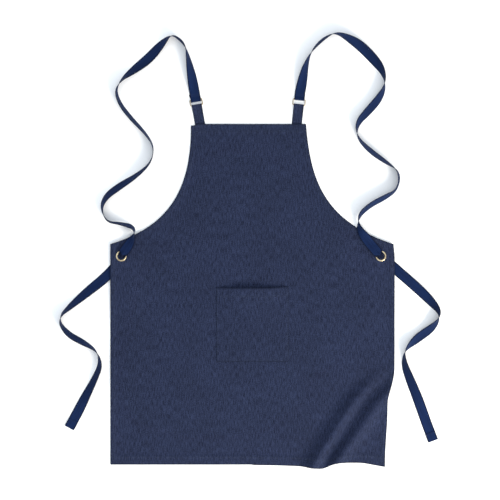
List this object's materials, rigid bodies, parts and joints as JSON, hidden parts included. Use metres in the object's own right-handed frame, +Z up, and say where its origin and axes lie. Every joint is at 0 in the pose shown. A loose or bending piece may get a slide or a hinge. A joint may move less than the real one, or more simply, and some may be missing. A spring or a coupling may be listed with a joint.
{
  "type": "bib apron",
  "caption": "Denim bib apron laid flat, with a front pocket, webbing straps sewn to rings on tabs and threaded through metal side eyelets.",
  "frame": {"origin": "on the floor under the middle of the apron and its rings, straps left out", "axes": "+Z up from the floor out of the apron's front, +Y from the hem to the bib, +X to the right seen from above"},
  "size_m": [0.9167, 1.0408, 0.0324],
  "materials": {
    "denim": "indigo twill, matt",
    "denim_reverse": "indigo twill, matt",
    "webbing": "ribbed navy webbing",
    "thread": "navy sewing thread",
    "ring_brass": "pale antique brass",
    "eyelet_brass": "polished pale brass"
  },
  "bodies": {
    "apron": {"bib_hem": "denim_reverse", "bib_hem_stitching": "thread", "body_panel": "denim", "bottom_hem": "denim_reverse", "bottom_hem_stitching": "thread", "left_armhole_hem": "denim_reverse", "left_armhole_stitching": "thread", "left_eyelet_grommet": "eyelet_brass", "left_eyelet_washer": "eyelet_brass", "left_side_hem": "denim_reverse", "left_side_stitching": "thread", "left_strap": "webbing", "left_tab": "denim", "left_tab_stitching": "thread", "left_tail_hem": "webbing", "left_tail_stitching": "thread", "pocket": "denim", "pocket_hem": "denim_reverse", "pocket_stitching": "thread", "right_armhole_hem": "denim_reverse", "right_armhole_stitching": "thread", "right_eyelet_grommet": "eyelet_brass", "right_eyelet_washer": "eyelet_brass", "right_side_hem": "denim_reverse", "right_side_stitching": "thread", "right_strap": "webbing", "right_tab": "denim", "right_tab_stitching": "thread", "right_tail_hem": "webbing", "right_tail_stitching": "thread"},
    "left_ring_link": {"left_ring": "ring_brass", "left_strap_loop": "webbing", "left_loop_stitching": "thread"},
    "right_ring_link": {"right_ring": "ring_brass", "right_strap_loop": "webbing", "right_loop_stitching": "thread"}
  },
  "joints": [
    {"name": "left_ring_swing", "type": "hinge", "parent": "apron", "child": "left_ring_link", "pos_m": [-0.13454, 0.42488, 0.00275], "axis": [0.9854, 0.1702, 0], "range_deg": [0, 150]},
    {"name": "right_ring_swing", "type": "hinge", "parent": "apron", "child": "right_ring_link", "pos_m": [0.11168, 0.4253, 0.00275], "axis": [0.9947, -0.1028, 0], "range_deg": [0, 150]}
  ]
}
